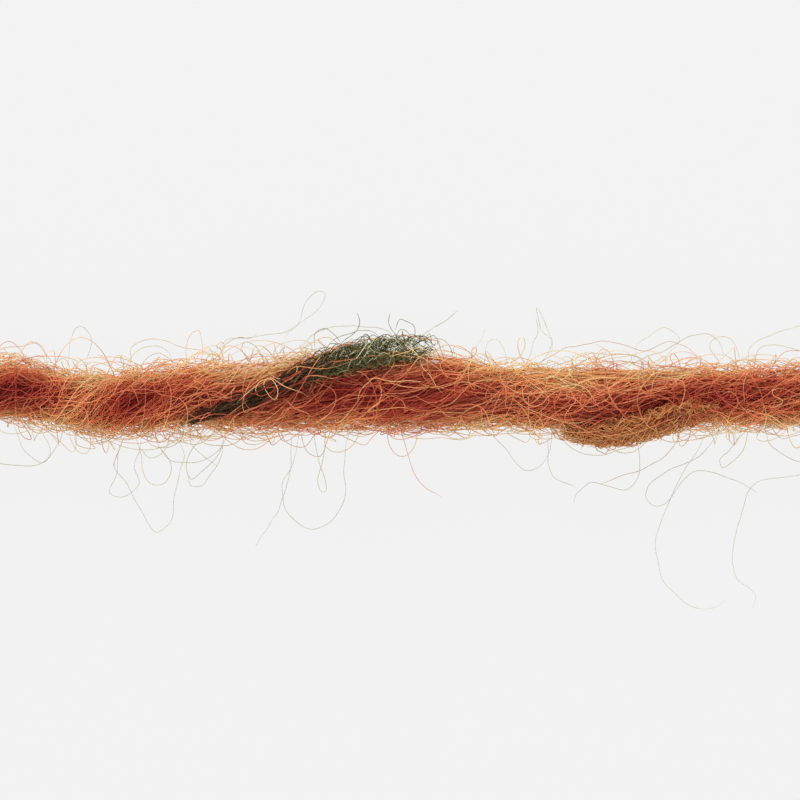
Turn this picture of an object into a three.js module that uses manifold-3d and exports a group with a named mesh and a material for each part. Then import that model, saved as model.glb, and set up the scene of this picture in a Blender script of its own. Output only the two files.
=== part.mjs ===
// A cut length of single-ply tweed wool yarn, lying loose on a flat surface.
// Millimetres. X runs along the strand, Y across it, and Z up from the surface it lies on.
// The strand is one solid with the hairs that stray from it, and two slubs are twisted into it:
// a tuft of green wool that stands proud of the strand, and a flatter ochre one.

import * as THREE from 'three';
import { mergeVertices } from 'three/addons/utils/BufferGeometryUtils.js';
import Module from 'manifold-3d';

const manifold = await Module();
manifold.setup();

const FULL_TURN = 2 * Math.PI;

// The strand
const BODY_LENGTH = 38;
const SECTION_STEP = 0.46;
const BUNDLES = 7;
const POINTS_PER_BUNDLE = 4;
const BUNDLE_HEIGHT = 0.15;
const BUNDLE_UNEVENNESS = 0.35;
const LUMP_HEIGHT = 0.035;
const LUMP_LENGTH = 2.3;
const AXIS_HEIGHT = 0.9;
const END_TAPER = 1.1;
const END_THICKNESS = 0.62;

// The slubs and the groove that each lies in
const SLUB_SIDES = 14;
const SLUB_STEP = 0.3;
const SLUB_CURL_HEIGHT = 0.09;
const SLUB_CURL_LENGTH = 1.7;
const SLUB_CURLS_ROUND = 3;
const SLUB_GAP = 0.3;
const GROOVE_MARGIN = 0.06;
const GROOVE_RUNOUT = 0.75;

// The stray hairs, each a fine lock with three sides
const HAIR_RADIUS = 0.055;
const HAIR_SIDES = 3;
const HAIR_STEP = 0.34;
const HAIR_ROOT_DEPTH = 0.45;
const HAIR_REST_HEIGHT = 0.08;
const HAIR_FALL = 1.3;
const SHORTEST_EDGE = 0.004;

// Thickness of the strand, how far its axis strays across, and the twist in degrees, all at x.
// Seen from above, the fibres climb to the right: an S twist, tighter where the strand is thin.
const STATIONS = [
  { x: -19.0, thick: 1.75, across: -0.42, turn: -475 },
  { x: -16.5, thick: 2.05, across: -0.12, turn: -385 },
  { x: -14.2, thick: 2.2, across: 0.14, turn: -318 },
  { x: -12.0, thick: 1.83, across: 0.12, turn: -253 },
  { x: -10.8, thick: 1.6, across: -0.06, turn: -206 },
  { x: -9.6, thick: 1.77, across: -0.24, turn: -158 },
  { x: -8.4, thick: 1.95, across: -0.3, turn: -112 },
  { x: -7.2, thick: 2.01, across: -0.22, turn: -71 },
  { x: -6.0, thick: 1.92, across: -0.08, turn: -38 },
  { x: -4.8, thick: 2.05, across: -0.12, turn: -13 },
  { x: -3.0, thick: 2.4, across: -0.01, turn: 22 },
  { x: -1.2, thick: 2.46, across: 0.02, turn: 52 },
  { x: 0.2, thick: 2.46, across: 0.0, turn: 70 },
  { x: 1.5, thick: 2.3, across: 0.03, turn: 85 },
  { x: 2.7, thick: 1.86, across: -0.06, turn: 106 },
  { x: 4.2, thick: 2.0, across: -0.15, turn: 127 },
  { x: 5.6, thick: 2.16, across: -0.24, turn: 142 },
  { x: 7.0, thick: 2.1, across: -0.23, turn: 157 },
  { x: 9.0, thick: 1.8, across: -0.1, turn: 179 },
  { x: 10.4, thick: 1.86, across: -0.14, turn: 198 },
  { x: 12.0, thick: 1.9, across: -0.08, turn: 222 },
  { x: 14.5, thick: 2.3, across: 0.1, turn: 262 },
  { x: 17.0, thick: 2.1, across: -0.08, turn: 322 },
  { x: 19.0, thick: 1.8, across: -0.3, turn: 380 },
];

// Each slub's rows give its angle round the strand, from +Y over the top, its width round the
// strand, its depth, and how far its middle stands out from the strand's surface.
const GREEN_SLUB = [
  { x: -6.9, angle: 146, wide: 0.22, deep: 0.16, out: 0.16 },
  { x: -5.6, angle: 119, wide: 0.62, deep: 0.4, out: 0.04 },
  { x: -4.2, angle: 88, wide: 0.9, deep: 0.5, out: -0.04 },
  { x: -3.0, angle: 64, wide: 1.06, deep: 0.6, out: 0.0 },
  { x: -1.8, angle: 41, wide: 1.2, deep: 0.72, out: 0.08 },
  { x: -0.6, angle: 23, wide: 1.28, deep: 0.8, out: 0.13 },
  { x: 0.5, angle: 14, wide: 1.14, deep: 0.76, out: 0.14 },
  { x: 1.3, angle: 10, wide: 0.4, deep: 0.34, out: 0.16 },
];

const OCHRE_SLUB = [
  { x: 4.6, angle: 161, wide: 0.22, deep: 0.16, out: 0.12 },
  { x: 5.5, angle: 155, wide: 0.8, deep: 0.46, out: 0.06 },
  { x: 6.4, angle: 147, wide: 1.04, deep: 0.56, out: 0.06 },
  { x: 7.5, angle: 136, wide: 0.98, deep: 0.52, out: 0.05 },
  { x: 8.6, angle: 124, wide: 0.7, deep: 0.38, out: 0.06 },
  { x: 9.6, angle: 113, wide: 0.22, deep: 0.16, out: 0.14 },
];

// Hairs that leave the strand at one place and come back to it at another, by way of a crown.
// The spread widens the loop at its crown, a negative one crosses it, and the tilt leans it.
const LOOPS = [
  { from: -17.8, to: -16.4, crownX: -17.0, crownY: 2.3, spread: 0.5, tilt: 0.2 },
  { from: -15.2, to: -13.4, crownX: -14.2, crownY: 1.75, spread: 0.3, tilt: 0 },
  { from: -11.4, to: -10.5, crownX: -10.9, crownY: 1.62, spread: 0.2, tilt: 0 },
  { from: -8.2, to: -5.3, crownX: -7.0, crownY: 1.66, spread: 0.3, tilt: 0.1 },
  { from: -6.4, to: -5.9, crownX: -6.15, crownY: 2.0, spread: 0.3, tilt: 0 },
  { from: -4.8, to: -4.1, crownX: -4.5, crownY: 1.62, spread: 0.22, tilt: 0 },
  { from: -5.0, to: -3.5, crownX: -2.6, crownY: 3.0, spread: 0.2, tilt: 0.9 },
  { from: 2.5, to: 3.1, crownX: 2.8, crownY: 1.62, spread: 0.15, tilt: 0 },
  { from: 3.8, to: 4.7, crownX: 4.2, crownY: 2.55, spread: 0.22, tilt: 0 },
  { from: 4.9, to: 9.9, crownX: 7.3, crownY: 1.5, spread: 0.6, tilt: 0 },
  { from: 7.1, to: 8.6, crownX: 7.8, crownY: 2.0, spread: 0.25, tilt: 0.2 },
  { from: 8.4, to: 9.8, crownX: 9.2, crownY: 1.85, spread: 0.35, tilt: 0 },
  { from: 10.6, to: 11.7, crownX: 11.2, crownY: 1.5, spread: 0.2, tilt: 0 },
  { from: 14.4, to: 16.3, crownX: 15.4, crownY: 2.5, spread: 0.55, tilt: -0.2 },
  { from: -16.6, to: -15.1, crownX: -15.9, crownY: -3.1, spread: 0.8, tilt: 0.2 },
  { from: -11.7, to: -10.6, crownX: -11.0, crownY: -2.15, spread: 0.55, tilt: 0 },
  { from: -8.8, to: -8.0, crownX: -8.5, crownY: -3.1, spread: 0.55, tilt: 0 },
  { from: -8.6, to: -6.5, crownX: -7.4, crownY: -4.1, spread: 0.35, tilt: 0.5 },
  { from: -7.8, to: -7.0, crownX: -7.3, crownY: -2.8, spread: 0.5, tilt: 0 },
  { from: -6.5, to: -5.3, crownX: -6.2, crownY: -2.55, spread: 0.3, tilt: -0.3 },
  { from: -3.1, to: -1.5, crownX: -2.6, crownY: -4.05, spread: 1.35, tilt: 0.2 },
  { from: -2.6, to: -2.2, crownX: -2.4, crownY: -2.9, spread: -0.35, tilt: 0 },
  { from: 2.8, to: 4.5, crownX: 3.8, crownY: -2.3, spread: 0.35, tilt: 0.1 },
  { from: 9.9, to: 10.5, crownX: 9.9, crownY: -2.3, spread: 0.3, tilt: 0 },
  { from: 12.9, to: 14.3, crownX: 13.5, crownY: -2.5, spread: 0.7, tilt: 0 },
  { from: 16.4, to: 18.0, crownX: 17.4, crownY: -2.9, spread: 0.6, tilt: 0.3 },
];

// Hairs with one end free. The bend is where the hair is halfway to its tip.
const FREE_HAIRS = [
  { from: -9.4, bendX: -9.35, bendY: 2.05, tipX: -10.0, tipY: 1.75 },
  { from: 2.0, bendX: 2.45, bendY: 1.55, tipX: 2.55, tipY: 2.0 },
  { from: 10.3, bendX: 10.9, bendY: 1.55, tipX: 11.8, tipY: 2.0 },
  { from: 12.4, bendX: 13.0, bendY: 1.7, tipX: 13.3, tipY: 2.5 },
  { from: -13.2, bendX: -13.6, bendY: -1.9, tipX: -12.9, tipY: -2.7 },
  { from: -10.2, bendX: -10.9, bendY: -2.1, tipX: -12.2, tipY: -2.1 },
  { from: -3.2, bendX: -3.5, bendY: -3.2, tipX: -4.4, tipY: -4.6 },
  { from: 0.0, bendX: 0.4, bendY: -2.4, tipX: 1.3, tipY: -3.1 },
  { from: 4.4, bendX: 4.7, bendY: -2.4, tipX: 5.4, tipY: -2.85 },
  { from: 8.6, bendX: 7.6, bendY: -2.2, tipX: 6.1, tipY: -2.8 },
  { from: 7.4, bendX: 6.6, bendY: -2.95, tipX: 5.3, tipY: -3.35 },
  { from: 9.2, bendX: 7.75, bendY: -4.5, tipX: 9.9, tipY: -6.3 },
  { from: 9.4, bendX: 8.3, bendY: -3.1, tipX: 10.9, tipY: -3.0 },
  { from: 12.6, bendX: 10.3, bendY: -4.2, tipX: 10.7, tipY: -6.5 },
  { from: 11.0, bendX: 11.4, bendY: -1.75, tipX: 12.1, tipY: -2.05 },
];

// Hairs of the green slub: each stands on the slub at x.
const GREEN_LOOPS = [
  { from: -2.5, to: -1.7, crownX: -2.2, crownY: 2.0, spread: 0.35, tilt: 0 },
  { from: -0.2, to: 0.5, crownX: 0.2, crownY: 2.2, spread: 0.3, tilt: 0 },
];

const GREEN_TIPS = [
  { from: -1.3, bendX: -1.22, bendY: 2.15, tipX: -1.35, tipY: 2.5 },
  { from: -0.5, bendX: -0.35, bendY: 2.15, tipX: -0.3, tipY: 2.5 },
  { from: 0.7, bendX: 1.15, bendY: 2.0, tipX: 1.7, tipY: 2.5 },
];

// Locks that fray from the two cut ends, spread evenly round the end face.
const END_LOCKS = 5;
const END_LOCK_LENGTH = 1.1;
const END_LOCK_SPLAY = 0.55;

const COLOURS = {
  strand: 0xb2532f,
  green_slub: 0x5a5a34,
  ochre_slub: 0xad7440,
};

// A value from one column of a table, on a smooth curve through the rows.
function along(rows, column, x) {
  const last = rows.length - 1;
  const place = THREE.MathUtils.clamp(x, rows[0].x, rows[last].x);
  const next = Math.max(1, rows.findIndex((row) => row.x >= place));
  const start = rows[next - 1];
  const end = rows[next];
  const slope = (index) => {
    const before = rows[Math.max(index - 1, 0)];
    const after = rows[Math.min(index + 1, last)];
    return (after[column] - before[column]) / (after.x - before.x);
  };
  const span = end.x - start.x;
  const t = (place - start.x) / span;
  const rise = t * t * (3 - 2 * t);
  const leaving = t * (1 - t) * (1 - t) * span * slope(next - 1);
  const arriving = t * t * (1 - t) * span * slope(next);
  return start[column] + rise * (end[column] - start[column]) + leaving - arriving;
}

function meanRadius(x) {
  return along(STATIONS, 'thick', x) / 2;
}

function axisHeight(x) {
  return AXIS_HEIGHT * meanRadius(x);
}

// A point at a radius and an angle round the strand's axis, no lower than the surface below.
function roundStrand(x, radius, angle) {
  const y = along(STATIONS, 'across', x) + radius * Math.cos(angle);
  const z = axisHeight(x) + radius * Math.sin(angle);
  return new THREE.Vector3(x, y, Math.max(z, 0));
}

// The shape of a slub's section at x, and beyond its ends that of its last row.
function slubSection(rows, x) {
  return {
    angle: THREE.MathUtils.degToRad(along(rows, 'angle', x)),
    middle: meanRadius(x) + along(rows, 'out', x),
    halfWide: along(rows, 'wide', x) / 2,
    halfDeep: along(rows, 'deep', x) / 2,
  };
}

// The radius that leaves the slub its gap, at an angle round the strand.
function grooveRadius(rows, x, angle) {
  const beyond = Math.max(rows[0].x - x, x - rows[rows.length - 1].x, 0);
  if (beyond >= GROOVE_RUNOUT) return Infinity;
  const room = (SLUB_GAP + GROOVE_MARGIN) * Math.sqrt(1 - (beyond / GROOVE_RUNOUT) ** 2);
  const slub = slubSection(rows, x);
  const turn = Math.atan2(Math.sin(angle - slub.angle), Math.cos(angle - slub.angle));
  const beside = (turn * slub.middle) / (slub.halfWide + room);
  if (Math.abs(beside) >= 1) return Infinity;
  return slub.middle - (slub.halfDeep + room) * Math.sqrt(1 - beside * beside);
}

// The strand's radius: soft bundles of fibre, raised and uneven, cut back under the slubs.
function bodyRadius(x, angle, bundleAngle) {
  const mean = meanRadius(x);
  const bundle = Math.floor((bundleAngle / FULL_TURN) * BUNDLES);
  const fullness = 1 + BUNDLE_UNEVENNESS * Math.sin(bundle * 2.4 + x / LUMP_LENGTH);
  const crest = Math.sin((bundleAngle * BUNDLES) / 2) ** 2 - 0.5;
  const lump = LUMP_HEIGHT * Math.sin((x * FULL_TURN) / LUMP_LENGTH + 3 * angle);
  const toEnd = BODY_LENGTH / 2 - Math.abs(x);
  const taper = THREE.MathUtils.smoothstep(toEnd, -END_TAPER / 2, END_TAPER);
  const drawnIn = THREE.MathUtils.lerp(END_THICKNESS, 1, taper);
  const full = mean * drawnIn * (1 + BUNDLE_HEIGHT * fullness * crest + lump);
  return Math.min(full, grooveRadius(GREEN_SLUB, x, angle), grooveRadius(OCHRE_SLUB, x, angle));
}

// A closed cylinder along X whose points are moved to where place() puts them.
function shapedRod(length, sides, steps, place) {
  const rod = new THREE.CylinderGeometry(1, 1, length, sides, steps);
  rod.rotateZ(-Math.PI / 2);
  rod.deleteAttribute('normal');
  rod.deleteAttribute('uv');
  const geometry = mergeVertices(rod);
  const points = geometry.attributes.position;
  for (let i = 0; i < points.count; i += 1) {
    const y = points.getY(i);
    const z = points.getZ(i);
    const moved = place(points.getX(i), Math.atan2(z, y), Math.hypot(y, z));
    points.setXYZ(i, moved.x, moved.y, moved.z);
  }
  return geometry;
}

function strandBody() {
  const steps = Math.round(BODY_LENGTH / SECTION_STEP);
  return shapedRod(BODY_LENGTH, BUNDLES * POINTS_PER_BUNDLE, steps, (x, side, share) => {
    const bundleAngle = (side + FULL_TURN) % FULL_TURN;
    const angle = side - THREE.MathUtils.degToRad(along(STATIONS, 'turn', x));
    return roundStrand(x, share * bodyRadius(x, angle, bundleAngle), angle);
  });
}

// A slub is a long lens of curled fibre that follows the twist, with blunt ends.
function slubBody(rows) {
  const first = rows[0].x;
  const length = rows[rows.length - 1].x - first;
  const steps = Math.round(length / SLUB_STEP);
  return shapedRod(length, SLUB_SIDES, steps, (fromMiddle, side, share) => {
    const x = first + length / 2 + fromMiddle;
    const slub = slubSection(rows, x);
    const curl = Math.sin(SLUB_CURLS_ROUND * side + (x * FULL_TURN) / SLUB_CURL_LENGTH);
    const fullness = share * (1 - SLUB_CURL_HEIGHT * (1 + curl));
    const beside = fullness * slub.halfWide * Math.cos(side);
    const radius = slub.middle + fullness * slub.halfDeep * Math.sin(side);
    return roundStrand(x, radius, slub.angle - beside / slub.middle);
  });
}

// Where a hair is rooted in the strand: on its upper or lower side in the view from above.
function strandRoot(x, side) {
  const depth = meanRadius(x) * HAIR_ROOT_DEPTH;
  return new THREE.Vector3(x, along(STATIONS, 'across', x) + side * depth, axisHeight(x));
}

function greenRoot(x) {
  const slub = slubSection(GREEN_SLUB, x);
  return roundStrand(x, slub.middle, slub.angle);
}

// A lock along a curve that starts at one point, ends at another and passes a third halfway.
// It sinks from the height of its root to the surface as it leaves the strand.
function hairLock(start, end, halfway, lean) {
  const middle = halfway.clone().multiplyScalar(8).sub(start).sub(end).divideScalar(6);
  const route = new THREE.CubicBezierCurve3(
    start,
    middle.clone().sub(lean),
    middle.clone().add(lean),
    end,
  );
  const steps = Math.max(6, Math.round(route.getLength() / HAIR_STEP));
  const points = route.getSpacedPoints(steps).map((point) => {
    const beyond = Math.abs(point.y - along(STATIONS, 'across', point.x)) - meanRadius(point.x);
    const fallen = THREE.MathUtils.smoothstep(beyond, 0, HAIR_FALL);
    point.z = THREE.MathUtils.lerp(start.z, HAIR_REST_HEIGHT, fallen);
    return point;
  });
  return lockAlong(points, steps);
}

function lockAlong(points, steps) {
  const section = new THREE.Shape();
  for (let i = 0; i < HAIR_SIDES; i += 1) {
    const angle = (i * FULL_TURN) / HAIR_SIDES;
    const corner = [HAIR_RADIUS * Math.cos(angle), HAIR_RADIUS * Math.sin(angle)];
    if (i === 0) section.moveTo(...corner);
    else section.lineTo(...corner);
  }
  return new THREE.ExtrudeGeometry(section, {
    steps,
    bevelEnabled: false,
    extrudePath: new THREE.CatmullRomCurve3(points),
  });
}

function loopLock(row, rootAt) {
  const side = Math.sign(row.crownY);
  return hairLock(
    rootAt(row.from, side),
    rootAt(row.to, side),
    new THREE.Vector3(row.crownX, row.crownY),
    new THREE.Vector3(row.spread, row.tilt),
  );
}

function freeLock(row, rootAt) {
  const start = rootAt(row.from, Math.sign(row.bendY));
  const tip = new THREE.Vector3(row.tipX, row.tipY);
  const halfway = new THREE.Vector3(row.bendX, row.bendY);
  return hairLock(start, tip, halfway, tip.clone().sub(start).divideScalar(6));
}

// Short locks that splay from a cut end. The end is 1 for the right and -1 for the left.
function endLocks(end) {
  const face = (end * BODY_LENGTH) / 2;
  const rim = meanRadius(face) * END_THICKNESS * 0.6;
  return Array.from({ length: END_LOCKS }, (unused, index) => {
    const angle = ((index + 0.3) * FULL_TURN) / END_LOCKS;
    const length = END_LOCK_LENGTH * (1 - 0.25 * Math.sin(index * 2));
    const points = [-0.5, 0.2, 0.6, 1].map((share) => {
      const splay = END_LOCK_SPLAY * Math.max(share, 0) ** 1.5;
      const point = roundStrand(face, rim + splay, angle);
      point.x = face + end * length * share;
      point.z = Math.max(point.z, HAIR_REST_HEIGHT);
      return point;
    });
    return lockAlong(points, 4);
  });
}

function toSolid(geometry) {
  const plain = geometry.clone();
  plain.deleteAttribute('normal');
  plain.deleteAttribute('uv');
  const merged = mergeVertices(plain);
  return new manifold.Manifold(new manifold.Mesh({
    numProp: 3,
    vertProperties: new Float32Array(merged.attributes.position.array),
    triVerts: new Uint32Array(merged.index.array),
  }));
}

// One solid from a body and the locks that are rooted in it, with no needle-thin faces at the joins.
function withLocks(body, locks) {
  const joined = locks.reduce((whole, lock) => whole.add(toSolid(lock)), toSolid(body));
  const mesh = joined.asOriginal().simplify(SHORTEST_EDGE).getMesh();
  const geometry = new THREE.BufferGeometry();
  geometry.setAttribute('position', new THREE.BufferAttribute(mesh.vertProperties, 3));
  geometry.setIndex(new THREE.BufferAttribute(mesh.triVerts, 1));
  geometry.computeVertexNormals();
  return geometry;
}

function woolMesh(name, geometry) {
  const wool = new THREE.MeshStandardMaterial({
    color: COLOURS[name],
    roughness: 0.95,
    metalness: 0,
    flatShading: true,
  });
  const mesh = new THREE.Mesh(geometry, wool);
  mesh.name = name;
  return mesh;
}

const strandLocks = [
  ...LOOPS.map((row) => loopLock(row, strandRoot)),
  ...FREE_HAIRS.map((row) => freeLock(row, strandRoot)),
  ...endLocks(-1),
  ...endLocks(1),
];
const greenLocks = [
  ...GREEN_LOOPS.map((row) => loopLock(row, greenRoot)),
  ...GREEN_TIPS.map((row) => freeLock(row, greenRoot)),
];

const yarn = new THREE.Group();
yarn.add(woolMesh('strand', withLocks(strandBody(), strandLocks)));
yarn.add(woolMesh('green_slub', withLocks(slubBody(GREEN_SLUB), greenLocks)));
yarn.add(woolMesh('ochre_slub', slubBody(OCHRE_SLUB)));

export default yarn;
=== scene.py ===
"""Dresses a cut length of single-ply wool yarn: its core, layers of fibre, two slubs and stray hairs."""

import math

import bmesh
import bpy
import numpy as np
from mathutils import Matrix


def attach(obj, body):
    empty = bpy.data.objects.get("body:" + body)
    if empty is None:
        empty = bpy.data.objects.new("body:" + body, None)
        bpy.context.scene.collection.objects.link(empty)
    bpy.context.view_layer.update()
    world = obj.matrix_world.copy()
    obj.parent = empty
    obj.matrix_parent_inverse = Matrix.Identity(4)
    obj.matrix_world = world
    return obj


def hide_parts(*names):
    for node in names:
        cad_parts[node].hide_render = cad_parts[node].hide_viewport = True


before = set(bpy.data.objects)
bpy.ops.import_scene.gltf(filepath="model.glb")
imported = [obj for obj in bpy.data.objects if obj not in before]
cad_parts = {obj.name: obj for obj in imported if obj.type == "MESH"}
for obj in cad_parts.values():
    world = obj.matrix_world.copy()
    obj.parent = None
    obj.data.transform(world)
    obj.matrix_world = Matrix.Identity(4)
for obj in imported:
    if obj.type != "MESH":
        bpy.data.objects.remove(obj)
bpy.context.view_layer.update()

bl_info = {
    "name": "Wool Yarn Strand",
    "version": (1, 0, 0),
    "blender": (4, 5, 0),
    "location": "View3D > Sidebar > Yarn",
    "description": "A hairy strand of single-ply wool yarn with a green and an ochre slub",
    "category": "Object",
}

MM = 0.001
FULL_TURN = 2 * math.pi

# The strand. Here and in the tables, lengths are in millimetres and angles in degrees. Shades go
# from 0, the deepest, to 1.
HALF_LENGTH = 19.0
BUNDLES = 7
BUNDLE_HEIGHT = 0.09
AXIS_HEIGHT = 0.9
END_TAPER = 1.1
END_THICKNESS = 0.62
SLUB_WIDTH = 0.8

# Fibres are tubes that thin towards their tips, and a map has a cell for each
TUBE_SIDES = 3
TIP_SHARE = 0.12
TIP_THICKNESS = 0.45
CELL_STRETCH = 8
CELL_MARGINS = (0.04, 0.06)

# A crimp is a sum of waves, each with its own length, start and share
WAVES = 3
WEAKEST_WAVE = 0.4

# Locks of fibre in the strand's surface, whose turn round it is in radians
LOCK_SIZE = 6
LOCK_MARGIN = 0.6
LOCK_SPREAD = 0.9
LOCK_TURN = 0.09
LOCK_SHIFT = 0.12
LONG_WAVES = (1.6, 4.5)
SHORT_WAVES = (0.9, 2.4)
SHORT_CRIMP = 0.4
DEPTH_WAVES = (1.0, 3.0)
DEPTH_CRIMP = 0.04
PAST_THE_END = (-0.7, 0.9)
SHORTEST_FIBRE = 0.3

# Loose fibres that stand off the strand
FUZZ_MARGIN = 0.3
FUZZ_WAVES = (1.2, 3.4)
FUZZ_LIFT_WAVES = (1.0, 2.8)
FUZZ_SHAPE = 1.6
FUZZ_LIMIT = 3
FUZZ_ARCH = 0.7
FUZZ_ROOT = 0.8
FUZZ_SINK = 0.03
CURL_SIZE = (0.4, 1.0)
CURL_TURNS = (0.8, 1.5)
FUZZ_TINT = 0.8
# Painted light that draws loose fibres at the sides paler, the more so the higher they stand
FUZZ_PAINTED_SIDE_LIGHT = 0.36
FUZZ_PAINTED_LIFT_LIGHT = 0.8
FUZZ_TOP = (0.1, 0.5)
FUZZ_SPREAD = 0.1
FUZZ_SIDE_SPREAD = 0.08

# Fibres that fill a slub
SLUB_ROOM = (-0.5, 0.2)
LEAST_ROOM = 0.15
SHORTEST_CURL = 0.2
LEAST_LOOSE = 0.2
SLUB_FILL = 0.6
LOOSE_FILL = 0.3
SLUB_TURNS = (1.2, 2.6)
SLUB_CURLS = (0.3, 1.0)
SLUB_WAVES = (0.5, 1.4)
SLUB_LIFT_WAVES = (0.5, 1.2)

# Long hairs that have their own routes
HAIR_POINTS = 60
HAIR_FALL = 1.3
HAIR_ROOT = 0.6
HAIR_SINK = 0.25
HAIR_OVER = 0.92
HAIR_INSIDE = 1.1
HAIR_CRIMP = 0.018
HAIR_WAVES = (0.5, 1.6)
HAIR_LIFT_CRIMP = 0.03
HAIR_LIFT_WAVES = (0.8, 2.4)
HAIR_REST = 0.03


def table(columns, rows):
    """A table's named columns as arrays."""
    return dict(zip(columns, np.array(rows, float).T))


STATIONS = table(("x", "thick", "across", "turn"), (
    (-19.0, 1.75, -0.42, -475),
    (-16.5, 2.05, -0.12, -385),
    (-14.2, 2.2, 0.14, -318),
    (-12.0, 1.83, 0.12, -253),
    (-10.8, 1.6, -0.06, -206),
    (-9.6, 1.77, -0.24, -158),
    (-8.4, 1.95, -0.3, -112),
    (-7.2, 2.01, -0.22, -71),
    (-6.0, 1.92, -0.08, -38),
    (-4.8, 2.05, -0.12, -13),
    (-3.0, 2.4, -0.01, 22),
    (-1.2, 2.46, 0.02, 52),
    (0.2, 2.46, 0.0, 70),
    (1.5, 2.3, 0.03, 85),
    (2.7, 1.86, -0.06, 106),
    (4.2, 2.0, -0.15, 127),
    (5.6, 2.16, -0.24, 142),
    (7.0, 2.1, -0.23, 157),
    (9.0, 1.8, -0.1, 179),
    (10.4, 1.86, -0.14, 198),
    (12.0, 1.9, -0.08, 222),
    (14.5, 2.3, 0.1, 262),
    (17.0, 2.1, -0.08, 322),
    (19.0, 1.8, -0.3, 380),
))

SLUB_COLUMNS = ("x", "angle", "wide", "deep", "out")

GREEN_SLUB = table(SLUB_COLUMNS, (
    (-6.9, 146, 0.22, 0.16, 0.16),
    (-5.6, 119, 0.62, 0.4, 0.04),
    (-4.2, 88, 0.9, 0.5, -0.04),
    (-3.0, 64, 1.06, 0.6, 0.0),
    (-1.8, 41, 1.2, 0.72, 0.08),
    (-0.6, 23, 1.28, 0.8, 0.13),
    (0.5, 14, 1.14, 0.76, 0.14),
    (1.3, 10, 0.4, 0.34, 0.16),
))

OCHRE_SLUB = table(SLUB_COLUMNS, (
    (4.6, 161, 0.22, 0.16, 0.12),
    (5.5, 155, 0.8, 0.46, 0.06),
    (6.4, 147, 1.04, 0.56, 0.06),
    (7.5, 136, 0.98, 0.52, 0.05),
    (8.6, 124, 0.7, 0.38, 0.06),
    (9.6, 113, 0.22, 0.16, 0.14),
))

# Each slub, and the share of the outer fibres that pass over its left and its right end
SLUBS = ((GREEN_SLUB, (0.36, 0.0)), (OCHRE_SLUB, (0.75, 0.7)))

# Where the wool is redder or more golden than the rest, at an angle that starts from +Y and
# goes over the top: how far the patch reaches along and round the strand, and its shift of shade.
TINTS = table(("x", "angle", "along", "round", "shift"), (
    (-11.3, 88, 1.1, 34, -0.2),
    (-9.5, 80, 0.6, 75, 0.26),
    (-7.9, 80, 0.95, 32, -0.12),
    (-5.6, 84, 1.2, 30, -0.04),
    (-4.4, 42, 1.6, 26, 0.2),
    (-2.0, 105, 2.4, 32, -0.06),
    (0.8, 100, 1.6, 30, -0.06),
    (3.4, 85, 1.6, 60, 0.15),
    (5.2, 60, 1.4, 16, 0.24),
    (6.0, 88, 1.4, 30, 0.04),
    (8.6, 92, 1.7, 22, -0.14),
    (9.0, 55, 2.2, 20, 0.1),
    (11.4, 95, 1.2, 30, 0.02),
    (-11.7, 22, 0.9, 26, -0.04),
    (6.2, 22, 0.3, 22, -0.2),
    (1.4, 22, 0.5, 24, -0.16),
    (11.2, 24, 1.2, 28, -0.14),
    (1.0, 180, 3.6, 26, -0.12),
    (-15.5, 250, 2.5, 60, -0.12),
    (14.5, 60, 2.2, 60, 0.12),
    (-1.0, 265, 3.0, 50, -0.12),
    (7.0, 240, 3.0, 50, 0.1),
))

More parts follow.
